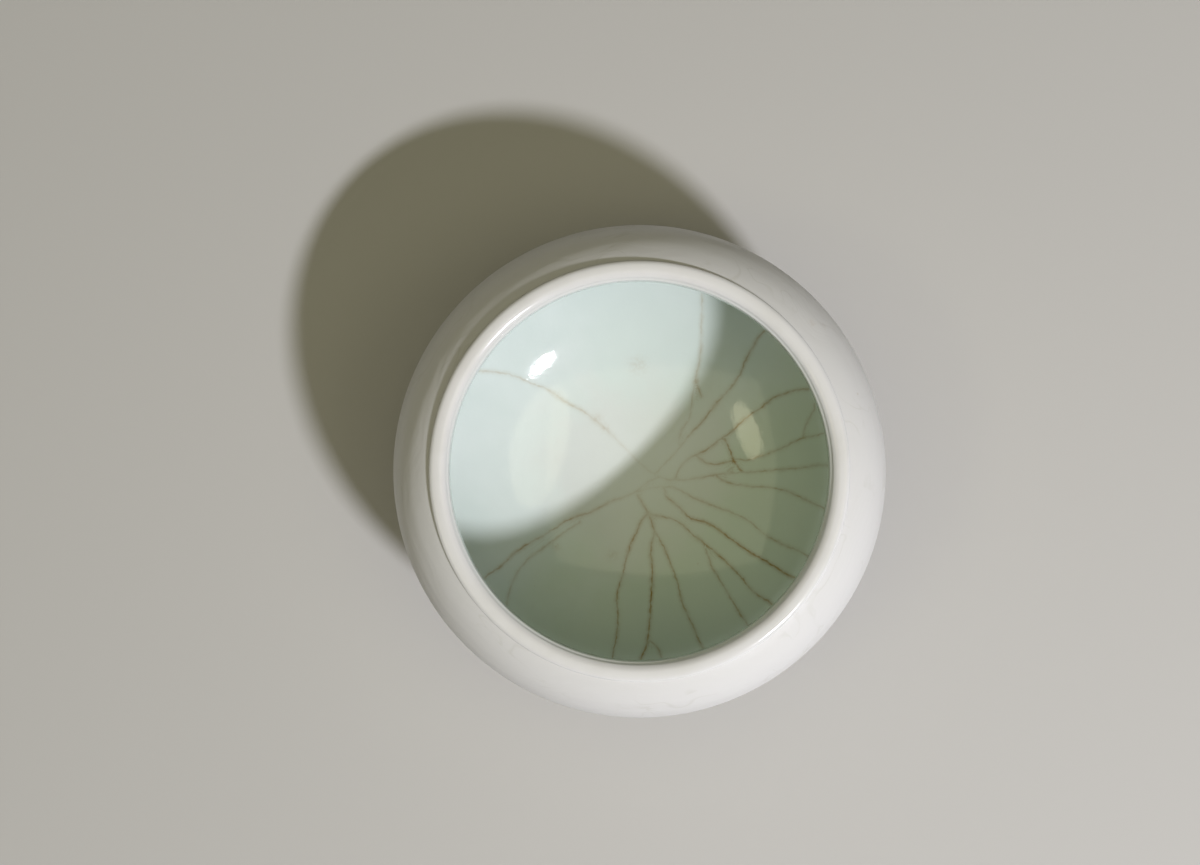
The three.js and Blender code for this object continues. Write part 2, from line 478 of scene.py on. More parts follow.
def per_metre(millimetres):
    """Scale of a pattern whose features are this many millimetres apart."""
    return 1 / (millimetres * MM)


def start_material(name, **shader):
    """A new material, whose shader's single values are set on its own sockets. Returns it with
    its tree and the place on the object that its patterns read."""
    material = bpy.data.materials.new(name)
    material.use_nodes = True
    tree = material.node_tree
    principled = tree.nodes["Principled BSDF"]
    for socket, value in shader.items():
        principled.inputs[socket.replace("_", " ")].default_value = value
    place = add_node(tree, "ShaderNodeTexCoord").outputs["Object"]
    return material, tree, place


def finish_material(tree, glaze, bump=None):
    """Link the finished colour and bump to the shader."""
    principled = tree.nodes["Principled BSDF"]
    tree.links.new(first_output(glaze), principled.inputs["Base Color"])
    if bump:
        tree.links.new(first_output(bump), principled.inputs["Normal"])


# Cracks in the inside glaze. Each has its tone (0 faint, 1 dark), whether it runs on up the
# wall, and points given on plan, in millimetres from the axis, from outside inward
CRACKS = (
    (0.24, True, (
        (-42.2, 26.1), (-35.2, 25.7), (-29.9, 24), (-24.6, 22), (-19.4, 18.5), (-13.2, 14.7),
        (-8.8, 11), (-3.5, 5.7), (0.8, 1.6), (3.9, -0.8), (7, -2.4),
    )),
    (0.25, True, (
        (16.5, 46.4), (16.7, 40), (16.5, 31.2), (15.4, 24.2), (14.4, 18.8), (13.6, 14),
        (11.6, 10.8), (11.1, 7.6), (11.5, 6.4),
    )),
    (0.45, False, ((16.7, 19.8), (15.4, 24.2))),
    (0.4, True, (
        (31.2, 34.8), (29, 30.8), (27.3, 26), (23.8, 21.1), (21.1, 18), (18, 14.5),
        (14.1, 10.1), (11, 6.2), (7, 1.8), (4.2, -1.1),
    )),
    (0.52, True, (
        (44.9, 21.6), (40.5, 20.9), (36.1, 19.4), (31.7, 16.3), (28.2, 13.6), (24.6, 10.1),
        (22, 8.4), (18.5, 5.7), (15.6, 4.3), (13.9, 3.4), (12.2, 1.8), (10.3, -0.8), (9.7, -2.1),
    )),
    (0.72, False, ((27.7, 0), (25.5, 2.6), (24.2, 5.7), (22.9, 8.8))),
    (0.25, False, ((26.4, 1.5), (25.5, 0.9), (24.2, 0), (23.4, -1.4))),
    (0.38, False, (
        (15.4, 4.2), (16.5, 3.4), (18.6, 2.1), (20.7, 1.8), (23.8, 2.5), (25.4, 2.9),
    )),
    (0.36, True, ((48.4, 9.9), (43.1, 8.4), (37.8, 5.9), (32.6, 4), (29.3, 2.8), (25.4, 2.8))),
    (0.26, True, ((46.4, 18.5), (45.9, 15.7), (44.2, 12.2), (43.3, 8.8))),
    (0.33, True, (
        (49.7, 1.1), (43.1, 0.8), (35.2, 0), (27.3, -0.7), (21.1, -1.1), (15.4, -2.1),
        (11.2, -2.4), (7, -2.4),
    )),
    (0.36, True, (
        (48.8, -10.1), (44.9, -8.4), (39.6, -5.7), (35.2, -4.3), (29, -4), (23.8, -3.1),
        (21.1, -1.8),
    )),
    (0.36, True, (
        (44, -22.4), (37.8, -19.4), (32.6, -16.3), (29, -13.2), (23.8, -11), (17.5, -8.6),
        (13.3, -6.8), (10.2, -5), (7, -4.5), (3, -4.6), (-0.6, -5.9),
    )),
    (0.56, True, (
        (40.9, -28.2), (36.1, -25.5), (30.8, -22.4), (27.3, -20.2), (22.9, -17.2), (18, -14.1),
        (13.3, -12.6), (10.2, -9.2), (7.3, -6.6), (7, -4.7),
    )),
    (0.54, True, (
        (35.2, -35.6), (29.9, -31.7), (26.4, -27.7), (22.9, -24.2), (18, -20.2), (15, -17.6),
        (10.6, -13.6), (7, -12.6), (3.9, -12), (2.4, -11.5),
    )),
    (0.38, True, ((28.6, -40.9), (26, -36.5), (22.9, -31.2), (19.4, -25.5), (18, -20.7))),
    (0.44, True, (
        (17.2, -48), (15, -42.7), (11.9, -35.6), (9.7, -27.9), (7.7, -23.3), (6, -19.7),
        (4.5, -17),
    )),
    (0.6, True, (
        (0, -50.6), (2.2, -45.3), (3.1, -36.5), (3.5, -27.7), (3.3, -22.8), (3.6, -19.7),
        (4.4, -17), (3.9, -14.4), (2.6, -11.3), (1.3, -9.2), (-0.3, -6.6),
    )),
    (0.32, True, ((6.2, -49.7), (4.8, -46.2), (3.1, -44.9))),
    (0.6, True, (
        (-6.6, -49.7), (-5.7, -42.7), (-5.5, -32.1), (-4.6, -29.4), (-3, -22.8), (-1.9, -19.6),
        (-0.5, -16.5), (0.8, -13.4), (2.6, -11.3),
    )),
    (0.44, True, (
        (-40.5, -28.6), (-35.2, -24.2), (-29.9, -19.8), (-24.6, -16.7), (-19.4, -13.6),
        (-13.2, -11.4), (-7, -8.4), (-0.8, -5.8), (1.3, -3.9), (3.9, -2.4), (5.4, -1.9),
    )),
    (0.23, True, (
        (-34.8, -34.8), (-33.4, -29.5), (-29.9, -24.2), (-25.5, -20.7), (-22, -18),
        (-15.8, -14.1),
    )),
)

# Stains in the two glazes: the place and the size in millimetres, and how strong. The inside's
# places are on plan
INSIDE_STAINS = (
    ((0, 28.5), 2.4, 0.16),
    ((-22.2, -20.4), 1.2, 0.24),
    ((-7.1, -22.7), 1.5, 0.16),
    ((-21.9, 20.2), 1.3, 0.16),
    ((-11.2, 14.1), 1.5, 0.2),
    ((-9, 11.4), 1.2, 0.2),
    ((15.5, 24), 0.9, 0.45),
)
OUTSIDE_STAINS = (
    ((42.1, 35.7, 53.4), 0.9, 0.16),
    ((44.8, 35.1, 51.1), 0.8, 0.14),
)

# Where a crack runs on up the wall: the seed of its wander, the length of a step and the room
# left under the lip in millimetres, and how far its bearing turns at a step
CRACK_SEED = 11
WANDER_STEP = 6.5
WANDER_DEGREES = 2.6
WANDER_STOP = 8.0
WANDER_SPREAD = 16.0

# Noise that pushes a crack's points aside: its size and the length it changes over, in millimetres
CRACK_WIGGLES = ((0.13, 4.5), (0.05, 1.6))

# The least tone of a worn crack, and the distances from the axis between which it wears off
WORN_TONE = 0.4
WORN_REACH = (6, 24)


def smoothstep(value, start, end):
    share = np.clip((value - start) / (end - start), 0, 1)
    return share * share * (3 - 2 * share)


def stain_share(points, places, size, strength):
    """A stain's share at each point: a bell curve of the distance from its place."""
    away = np.linalg.norm(points - places, axis=-1)
    return strength * np.exp(-((away / size) ** 2))


def smooth_route(points, step):
    """A cubic through the points, whose tangent at each is the slope between its neighbours,
    with new points a step apart."""
    run = arc_length(points)
    tangent = np.gradient(points, run, axis=0)
    marks = np.linspace(0, run[-1], max(2, int(run[-1] / step) + 1))
    at = np.clip(np.searchsorted(run, marks, "right") - 1, 0, len(run) - 2)
    span = (run[at + 1] - run[at])[:, None]
    t = (marks - run[at])[:, None] / span
    start = (1 + 2 * t) * (1 - t) ** 2 * points[at] + t * (1 - t) ** 2 * span * tangent[at]
    end = t**2 * (3 - 2 * t) * points[at + 1] + t**2 * (t - 1) * span * tangent[at + 1]
    return start + end


class CrackField:
    """Where the cracks run in the inside glaze, known at each point of its surface.

    The surface is unrolled: a point lies at its bearing, and as far from the middle as the glaze
    measures from the axis up the wall. A crack is a chain of short stretches there, carried back
    on to the surface. Each point near one gets the way to the nearest spot of the chain, the
    length of that way, and the crack's tone.
    """

    def __init__(self, profile, around):
        self.profile = profile
        self.around = around
        self.run = arc_length(profile)
        self.points = revolve(profile, around) / MM
        self.distance = np.full(self.points.shape[:2], CRACK_REACH)
        self.way = np.zeros(self.points.shape)
        self.way[..., 0] = CRACK_REACH
        self.tone = np.zeros(self.points.shape[:2])
        self.random = np.random.default_rng(CRACK_SEED)

    def unroll(self, plan):
        """Move points on plan outward to their distance along the glaze."""
        radius = np.hypot(*plan.T)
        rising = np.argmax(self.profile[:, 0])
        along = np.interp(radius, self.profile[:rising, 0], self.run[:rising])
        return plan * (along / np.maximum(radius, 1e-6))[:, None]

    def carry_back(self, flat):
        """Points of the unrolled plan on the surface."""
        along = np.hypot(*flat.T)
        bearing = np.arctan2(flat[:, 1], flat[:, 0])
        radius = np.interp(along, self.run, self.profile[:, 0])
        height = np.interp(along, self.run, self.profile[:, 1])
        return np.stack([radius * np.cos(bearing), radius * np.sin(bearing), height], 1)

    def run_on(self, flat):
        """Lead a crack from its outer end up the wall, its bearing wandering at each step."""
        start = np.hypot(*flat[0])
        stop = self.run[-1] - WANDER_STOP - WANDER_SPREAD * self.random.random()
        along = np.arange(start + WANDER_STEP, stop, WANDER_STEP)[::-1]
        if len(along) == 0:
            return flat
        turns = self.random.normal(0, math.radians(WANDER_DEGREES), len(along))
        bearing = math.atan2(flat[0, 1], flat[0, 0]) + np.cumsum(turns)[::-1]
        outer = np.stack([along * np.cos(bearing), along * np.sin(bearing)], 1)
        return np.concatenate([outer, flat])

    def wiggle(self, flat, size, length):
        """Push a crack's points aside by noise of one size that changes over one length."""
        knots = max(3, int(arc_length(flat)[-1] / length))
        marks = np.linspace(0, knots - 1, len(flat))
        push = self.random.normal(0, size, (knots, 2))
        return flat + np.stack([np.interp(marks, np.arange(knots), side) for side in push.T], 1)

    def window(self, first, last):
        """Rows and turns of the surface that a stretch of a crack can reach."""
        along = np.hypot(*np.stack([first, last]).T)
        near = (self.run > along.min() - CRACK_REACH) & (self.run < along.max() + CRACK_REACH)
        rows = np.flatnonzero(near)
        radius = self.profile[rows, 0].min()
        if radius < 2 * CRACK_REACH:
            return rows, np.arange(self.around)
        middle = math.atan2(first[1] + last[1], first[0] + last[0])
        half = (CRACK_REACH + np.linalg.norm(last - first)) / radius
        step = 2 * math.pi / self.around
        turns = np.arange(math.floor((middle - half) / step), math.ceil((middle + half) / step) + 1)
        return rows, turns % self.around

    def add(self, tone, runs_on, plan):
        flat = self.unroll(np.array(plan, float))
        if runs_on:
            flat = self.run_on(flat)
        flat = smooth_route(flat, CRACK_STEP)
        for size, length in CRACK_WIGGLES:
            flat = self.wiggle(flat, size, length)
        solid = self.carry_back(flat)
        for index in range(len(flat) - 1):
            spot = np.ix_(*self.window(flat[index], flat[index + 1]))
            self.mark(spot, solid[index], solid[index + 1], tone)

    def mark(self, spot, first, last, tone):
        block = self.points[spot]
        stretch = last - first
        share = np.clip((block - first) @ stretch / (stretch @ stretch), 0, 1)
        way = first + share[..., None] * stretch - block
        distance = np.linalg.norm(way, axis=-1)
        closer = distance < self.distance[spot]
        self.distance[spot] = np.where(closer, distance, self.distance[spot])
        self.tone[spot] = np.where(closer, tone, self.tone[spot])
        self.way[spot] = np.where(closer[..., None], way, self.way[spot])

    def worn_tone(self):
        """The cracks' tone, which fades towards the middle of the floor, where it wore off."""
        radius = np.hypot(self.points[..., 0], self.points[..., 1])
        return self.tone * (WORN_TONE + (1 - WORN_TONE) * smoothstep(radius, *WORN_REACH))

    def stains(self):
        """The share of stain at each point, from all the stains of the inside."""
        share = np.zeros(self.points.shape[:2])
        for place, size, strength in INSIDE_STAINS:
            middle = self.carry_back(self.unroll(np.array([place], float)))
            share += stain_share(self.points, middle, size, strength)
        return share


def celadon_crackle_material():
    """Pale celadon glaze over porcelain, thick and fired to a gloss, that crazed as it cooled.

    Tea and ink drew into the cracks: each is a brown line with a soft tan edge. The glaze is
    clear, with a fine orange peel, so a highlight is small, bright and a little uneven at its
    edge. It is deeper where it ran down and pooled, and so thin on the lip's edge that it is
    almost white there. Towards the side that lies in shade it takes a warm olive tint, partly
    tea stain and partly painted shade, and its middle a greyer tone, partly stain and partly
    painted shade.
    """
    tint = colours()
    material, tree, place = start_material("celadon_crackle_glaze", Roughness=0.05, IOR=1.58)
    pooling = add_node(
        tree, "ShaderNodeTexNoise", {"Vector": place, "Scale": per_metre(28), "Detail": 3.0}
    )
    pooled = add_node(
        tree,
        "ShaderNodeMapRange",
        {"Value": pooling, "From Min": 0.35, "From Max": 0.7, "To Max": 0.55},
        interpolation_type="SMOOTHSTEP",
    )
    glaze = add_node(
        tree,
        "ShaderNodeMix",
        {"Factor": pooled, "A": tint.celadon, "B": tint.celadon_deep},
        data_type="RGBA",
    )
    glaze = with_warm_shade_tint(tree, place, glaze, tint)
    glaze = with_floor_stain_and_shade(tree, place, glaze, tint)
    glaze = with_specks(tree, place, glaze, tint, spacing=9.0, size=0.16)
    glaze = with_stains(tree, place, glaze, tint)
    glaze = with_cracks(tree, place, glaze, tint)
    thin = add_node(tree, "ShaderNodeAttribute", attribute_name="edge_thin").outputs["Fac"]
    glaze = add_node(
        tree, "ShaderNodeMix", {"Factor": thin, "A": glaze, "B": tint.lip}, data_type="RGBA"
    )
    glaze = with_seam(tree, glaze, tint)
    waver = add_node(
        tree, "ShaderNodeTexNoise", {"Vector": place, "Scale": per_metre(7), "Detail": 1.0}
    )
    slow = add_node(tree, "ShaderNodeBump", {"Height": waver, "Distance": 0.03 * MM})
    peel = add_node(
        tree, "ShaderNodeTexNoise", {"Vector": place, "Scale": per_metre(0.9), "Detail": 1.0}
    )
    fine = add_node(
        tree, "ShaderNodeBump", {"Height": peel, "Distance": 0.013 * MM, "Normal": slow}
    )
    finish_material(tree, glaze, fine)
    return material


def with_warm_shade_tint(tree, place, glaze, tint):
    """A warm olive tint that grows towards the side of the inside that lies in shade, by a slope
    across it, and clouds: partly tea stain, partly painted shade.
    """
    slope = add_node(
        tree, "ShaderNodeVectorMath", {0: place, 1: (0.7, -0.7, 0)}, operation="DOT_PRODUCT"
    )
    cloud = add_node(
        tree, "ShaderNodeTexNoise", {"Vector": place, "Scale": per_metre(18), "Detail": 3.0}
    )
    clouded = add_node(
        tree, "ShaderNodeMath", {0: cloud, 1: 24 * MM, 2: slope}, operation="MULTIPLY_ADD"
    )
    share = add_node(
        tree,
        "ShaderNodeMapRange",
        {"Value": clouded, "From Min": 0.0, "From Max": 34 * MM, "To Max": 0.55},
        interpolation_type="SMOOTHSTEP",
    )
    return add_node(
        tree, "ShaderNodeMix", {"Factor": share, "A": glaze, "B": tint.tea_and_shade_tint}, data_type="RGBA"
    )


def axis_distance(tree, place):
    """Distance from the bowl's axis, in metres: the length of the place without its height."""
    level = add_node(tree, "ShaderNodeVectorMath", {0: place, 1: (1, 1, 0)}, operation="MULTIPLY")
    return add_node(tree, "ShaderNodeVectorMath", {0: level}, operation="LENGTH")


def with_floor_stain_and_shade(tree, place, glaze, tint):
    """A greyer, darker glaze over the middle of the floor, with a ragged edge: partly a stain,
    partly painted shade that dims the middle of the floor.
    """
    ragged = add_node(
        tree, "ShaderNodeTexNoise", {"Vector": place, "Scale": per_metre(14), "Detail": 4.0}
    )
    offset = add_node(
        tree,
        "ShaderNodeMath",
        {0: ragged, 1: 26 * MM, 2: axis_distance(tree, place)},
        operation="MULTIPLY_ADD",
    )
    share = add_node(
        tree,
        "ShaderNodeMapRange",
        {"Value": offset, "From Min": 30 * MM, "From Max": 46 * MM, "To Min": 0.5, "To Max": 0.0},
        interpolation_type="SMOOTHSTEP",
    )
    return add_node(
        tree,
        "ShaderNodeMix",
        {"Factor": share, "A": glaze, "B": tint.floor_stain_and_shade},
        data_type="RGBA",
    )


def with_specks(tree, place, glaze, tint, spacing, size):
    """Iron specks: dots about a cell's centre, in the cells whose own shade is high."""
    cells = add_node(tree, "ShaderNodeTexVoronoi", {"Vector": place, "Scale": per_metre(spacing)})
    dot = add_node(
        tree,
        "ShaderNodeMapRange",
        {
            "Value": cells,
            "From Min": size / spacing,
            "From Max": 2.2 * size / spacing,
            "To Min": 1.0,
            "To Max": 0.0,
        },
        interpolation_type="SMOOTHSTEP",
    )
    shade = add_node(tree, "ShaderNodeSeparateColor", {"Color": cells.outputs["Color"]})
    chosen = add_node(
        tree,
        "ShaderNodeMapRange",
        {"Value": shade, "From Min": 0.6, "From Max": 1.0, "To Max": 0.5},
    )
    share = add_node(tree, "ShaderNodeMath", {0: dot, 1: chosen}, operation="MULTIPLY")
    return add_node(
        tree, "ShaderNodeMix", {"Factor": share, "A": glaze, "B": tint.speck}, data_type="RGBA"
    )


def with_stains(tree, place, glaze, tint):
    """Small brown stains from the surface's own mark, made ragged by noise."""
    stain = add_node(tree, "ShaderNodeAttribute", attribute_name="stain_share").outputs["Fac"]
    ragged = add_node(
        tree, "ShaderNodeTexNoise", {"Vector": place, "Scale": per_metre(0.9), "Detail": 3.0}
    )
    uneven = add_node(
        tree,
        "ShaderNodeMapRange",
        {"Value": ragged, "From Min": 0.3, "From Max": 0.7, "To Max": 1.3},
    )
    share = add_node(
        tree, "ShaderNodeMath", {0: stain, 1: uneven}, operation="MULTIPLY", use_clamp=True
    )
    return add_node(
        tree,
        "ShaderNodeMix",
        {"Factor": share, "A": glaze, "B": tint.crack_stain},
        data_type="RGBA",
        blend_type="MULTIPLY",
    )


def with_cracks(tree, place, glaze, tint):
    """Stain the glaze along the cracks: a thin, broken core in a narrow tan edge, over a faint
    wide band.

    The length of the way to the nearest crack is exact beside it, but also falls to nothing half
    way between two cracks. The marked distance doesn't, so the greater of the two is used, the
    marked one less the width of a face. Noise makes the way a little ragged.
    """
    way = add_node(tree, "ShaderNodeAttribute", attribute_name="crack_way").outputs["Vector"]
    marked = add_node(tree, "ShaderNodeAttribute", attribute_name="crack_distance").outputs["Fac"]
    tone = add_node(tree, "ShaderNodeAttribute", attribute_name="crack_tone").outputs["Fac"]
    jitter = add_node(
        tree, "ShaderNodeTexNoise", {"Vector": place, "Scale": per_metre(1.3), "Detail": 2.0}
    )
    aside = add_node(
        tree,
        "ShaderNodeVectorMath",
        {0: jitter.outputs["Color"], 1: (0.5, 0.5, 0.5)},
        operation="SUBTRACT",
    )
    ragged = add_node(
        tree,
        "ShaderNodeVectorMath",
        {0: aside, 1: (0.7, 0.7, 0.7), 2: way},
        operation="MULTIPLY_ADD",
    )
    length = add_node(tree, "ShaderNodeVectorMath", {0: ragged}, operation="LENGTH")
    least = add_node(tree, "ShaderNodeMath", {0: marked, 1: 0.5}, operation="SUBTRACT")
    distance = add_node(tree, "ShaderNodeMath", {0: length, 1: least}, operation="MAXIMUM")
    core = uneven_line(tree, place, distance, (0.08, 0.38), 0.95, 2.2)
    edge = uneven_line(tree, place, distance, (0.14, 1.1), 0.66, 5)
    band = uneven_line(tree, place, distance, (0.3, 1.9), 0.16, 9)
    most = add_node(tree, "ShaderNodeMath", {0: core, 1: edge}, operation="ADD")
    whole = add_node(tree, "ShaderNodeMath", {0: most, 1: band}, operation="ADD")
    share = add_node(
        tree, "ShaderNodeMath", {0: whole, 1: tone}, operation="MULTIPLY", use_clamp=True
    )
    return add_node(
        tree,
        "ShaderNodeMix",
        {"Factor": share, "A": glaze, "B": tint.crack_stain},
        data_type="RGBA",
        blend_type="MULTIPLY",
    )


def uneven_line(tree, place, distance, fades, most, spacing):
    """A line's strength, which fades between two distances from it, and varies along it by
    noise of a spacing in millimetres."""
    full, gone = fades
    line = add_node(
        tree,
        "ShaderNodeMapRange",
        {"Value": distance, "From Min": full, "From Max": gone, "To Min": 1.0, "To Max": 0.0},
        interpolation_type="SMOOTHSTEP",
    )
    noise = add_node(
        tree, "ShaderNodeTexNoise", {"Vector": place, "Scale": per_metre(spacing), "Detail": 2.0}
    )
    uneven = add_node(
        tree,
        "ShaderNodeMapRange",
        {"Value": noise, "From Min": 0.34, "From Max": 0.64, "To Min": 0.25 * most, "To Max": most},
    )
    return add_node(tree, "ShaderNodeMath", {0: line, 1: uneven}, operation="MULTIPLY")


def with_seam(tree, glaze, tint):
    """Shade a glaze along the seam on the lip, from the surface's own mark."""
    seam = add_node(tree, "ShaderNodeAttribute", attribute_name="seam_shade").outputs["Fac"]
    return add_node(
        tree, "ShaderNodeMix", {"Factor": seam, "A": glaze, "B": tint.seam}, data_type="RGBA"
    )


def white_satin_material():
    """White porcelain glaze on the outside, fired to a satin over the turned wall.

    It settled in long level streaks, low waves that break the shade's edge into feathers where
    light grazes them, and a few grey hairlines drift along them. The satin gives a broad, soft
    highlight.
    """
    tint = colours()
    material, tree, place = start_material("white_satin_glaze", Roughness=0.4, IOR=1.5)
    level = add_node(tree, "ShaderNodeAttribute", attribute_name="level_place").outputs["Vector"]
    drift = add_node(
        tree, "ShaderNodeTexNoise", {"Vector": level, "Scale": per_metre(26), "Detail": 2.0}
    )
    bent = add_node(
        tree,
        "ShaderNodeVectorMath",
        {0: drift, 1: (0, 0, 24 * MM), 2: level},
        operation="MULTIPLY_ADD",
    )
    glaze = with_hairlines(tree, place, bent, tint)
    glaze = with_specks(tree, place, glaze, tint, spacing=14.0, size=0.2)
    glaze = with_stains(tree, place, glaze, tint)
    drawn_out = add_node(
        tree,
        "ShaderNodeVectorMath",
        {0: bent, 1: (per_metre(20), per_metre(20), per_metre(2.4))},
        operation="MULTIPLY",
    )
    streaks = add_node(
        tree, "ShaderNodeTexNoise", {"Vector": drawn_out, "Scale": 1.0, "Detail": 2.0}
    )
    waves = add_node(tree, "ShaderNodeBump", {"Height": streaks, "Distance": 0.12 * MM})
    pits = add_node(
        tree, "ShaderNodeTexNoise", {"Vector": place, "Scale": per_metre(1.6), "Detail": 3.0}
    )
    fine = add_node(
        tree, "ShaderNodeBump", {"Height": pits, "Distance": 0.02 * MM, "Normal": waves}
    )
    finish_material(tree, glaze, fine)
    return material


def with_hairlines(tree, place, bent, tint):
    """Grey hairlines: the level where a drawn-out noise passes its middle, shown in patches."""
    drawn_out = add_node(
        tree,
        "ShaderNodeVectorMath",
        {0: bent, 1: (per_metre(20), per_metre(20), per_metre(8))},
        operation="MULTIPLY",
    )
    field = add_node(
        tree,
        "ShaderNodeTexNoise",
        {"Vector": drawn_out, "Scale": 1.0, "Detail": 2.0, "Distortion": 0.6},
    )
    offset = add_node(tree, "ShaderNodeMath", {0: field, 1: 0.5}, operation="SUBTRACT")
    away = add_node(tree, "ShaderNodeMath", {0: offset}, operation="ABSOLUTE")
    hair = add_node(
        tree,
        "ShaderNodeMapRange",
        {"Value": away, "From Min": 0.0, "From Max": 0.022, "To Min": 1.0, "To Max": 0.0},
        interpolation_type="SMOOTHSTEP",
    )
    cloud = add_node(
        tree, "ShaderNodeTexNoise", {"Vector": place, "Scale": per_metre(18), "Detail": 4.0}
    )
    patches = add_node(
        tree,
        "ShaderNodeMapRange",
        {"Value": cloud, "From Min": 0.46, "From Max": 0.64, "To Max": 0.4},
        interpolation_type="SMOOTHSTEP",
    )
    share = add_node(tree, "ShaderNodeMath", {0: hair, 1: patches}, operation="MULTIPLY")
    return add_node(
        tree,
        "ShaderNodeMix",
        {"Factor": share, "A": tint.white, "B": tint.white_vein},
        data_type="RGBA",
    )


def lip_gloss_material():
    """White glaze on the turned lip, fired to a full gloss.

    Fine rings from the turning run round it, which break the highlight into thin arcs.
    """
    tint = colours()
    material, tree, place = start_material("white_gloss_lip_glaze", Roughness=0.13, IOR=1.5)
    cloud = add_node(
        tree, "ShaderNodeTexNoise", {"Vector": place, "Scale": per_metre(12), "Detail": 4.0}
    )
    faint = add_node(
        tree,
        "ShaderNodeMapRange",
        {"Value": cloud, "From Min": 0.45, "From Max": 0.75, "To Max": 0.3},
    )
    glaze = add_node(
        tree,
        "ShaderNodeMix",
        {"Factor": faint, "A": tint.lip, "B": tint.white_vein},
        data_type="RGBA",
    )
    glaze = with_seam(tree, glaze, tint)
    rings = add_node(
        tree,
        "ShaderNodeMath",
        {0: axis_distance(tree, place).outputs["Value"], 1: 2 * math.pi * per_metre(0.85)},
        operation="MULTIPLY",
    )
    wave = add_node(tree, "ShaderNodeMath", {0: rings}, operation="SINE")
    turned = add_node(tree, "ShaderNodeBump", {"Height": wave, "Distance": 0.002 * MM})
    peel = add_node(
        tree, "ShaderNodeTexNoise", {"Vector": place, "Scale": per_metre(1.2), "Detail": 1.0}
    )
    fine = add_node(
        tree, "ShaderNodeBump", {"Height": peel, "Distance": 0.008 * MM, "Normal": turned}
    )
    finish_material(tree, glaze, fine)
    return material


def biscuit_material():
    """Bare porcelain biscuit on the foot, turned and left without glaze.

    It is matt and gritty, and burned to a rust tint in patches where the kiln's flame reached.
    Its grit is finer than a tenth of a millimetre, and is drawn at half a millimetre to show.
    """
    tint = colours()
    material, tree, place = start_material("bare_biscuit_clay", Roughness=0.85, IOR=1.5)
    patches = add_node(
        tree, "ShaderNodeTexNoise", {"Vector": place, "Scale": per_metre(9), "Detail": 5.0}
    )
    flashed = add_node(
        tree, "ShaderNodeMapRange", {"Value": patches, "From Min": 0.4, "From Max": 0.68}
    )
    clay = add_node(
        tree,
        "ShaderNodeMix",
        {"Factor": flashed, "A": tint.biscuit, "B": tint.biscuit_flash},
        data_type="RGBA",
    )
    grit = add_node(
        tree, "ShaderNodeTexNoise", {"Vector": place, "Scale": per_metre(0.5), "Detail": 3.0}
    )
    rough = add_node(tree, "ShaderNodeBump", {"Height": grit, "Distance": 0.07 * MM})
    finish_material(tree, clay, rough)
    return material


def base_gloss_material():
    """Thin pale glaze under the bowl, glossy, with pinholes that show as tan dots."""
    tint = colours()
    material, tree, place = start_material("thin_base_glaze", Roughness=0.15, IOR=1.5)
    thin = add_node(
        tree, "ShaderNodeTexNoise", {"Vector": place, "Scale": per_metre(15), "Detail": 4.0}
    )
    glaze = add_node(
        tree,
        "ShaderNodeMix",
        {"Factor": thin, "A": tint.celadon, "B": tint.white},
        data_type="RGBA",
    )
    glaze = with_specks(tree, place, glaze, tint, spacing=5.0, size=0.25)
    waver = add_node(
        tree, "ShaderNodeTexNoise", {"Vector": place, "Scale": per_metre(4), "Detail": 2.0}
    )
    slow = add_node(tree, "ShaderNodeBump", {"Height": waver, "Distance": 0.06 * MM})
    finish_material(tree, glaze, slow)
    return material


def fired_clay_material():
    """Fired porcelain clay under the glaze: white, dense and matt, with a faint mottle."""
    tint = colours()
    material, tree, place = start_material("fired_porcelain_clay", Roughness=0.6, IOR=1.5)
    grain = add_node(
        tree, "ShaderNodeTexNoise", {"Vector": place, "Scale": per_metre(2), "Detail": 4.0}
    )
    clay = add_node(
        tree, "ShaderNodeMix", {"Factor": grain, "A": tint.clay, "B": tint.white}, data_type="RGBA"
    )
    finish_material(tree, clay)
    return material


class WASHER_OT_clay(bpy.types.Operator):
    """Turn the three clay sections that the glaze covers"""

    bl_idname = "washer.clay"
    bl_label = "Clay body"

    def execute(self, context):
        bowl = BowlProfile()
        clay = fired_clay_material()
        neck = [bowl.neck_radius + GLAZE, bowl.lip_joint]
        outside, inside = bowl.lower_outside(GLAZE, 40), bowl.lower_inside(GLAZE, 40)
        wall = chain([0, FOOT_JOINT], outside, inside[::-1])
        self.add("clay_lower_body", wall, clay, "lower_body", True)
        shoulder = chain(bowl.shoulder(GLAZE), neck, bowl.under_shoulder(GLAZE)[::-1])
        self.add("clay_shoulder", shoulder, clay, "shoulder", False)
        lip = chain(bowl.lip(GLAZE), bowl.inner_edge(GLAZE)[::-1], neck)
        self.add("clay_lip_ring", lip, clay, "lip_ring", False)
        return {"FINISHED"}

    def add(self, name, outline, clay, node, on_axis):
        grid = revolve(outline, AROUND_CLAY)
        add_piece(name, grid, clay, node, on_axis)


class WASHER_OT_foot(bpy.types.Operator):
    """Turn the bare foot ring that the bowl stands on"""

    bl_idname = "washer.foot"
    bl_label = "Foot ring"

    def execute(self, context):
        edge = BowlProfile().foot_edge
        clay_radius = FOOT_RADIUS - GLAZE
        right = math.pi / 2
        inner = arc((FOOT_INNER_RADIUS + edge, edge), edge, 2 * right, 3 * right, 10)
        outer = arc((clay_radius - edge, edge), edge, -right, 0, 10)
        outline = chain(inner, outer, [clay_radius, FOOT_JOINT], [FOOT_INNER_RADIUS, FOOT_JOINT])
        grid = revolve(outline, AROUND)
        add_piece("foot_ring_biscuit", grid, biscuit_material(), "foot_ring", False)
        return {"FINISHED"}


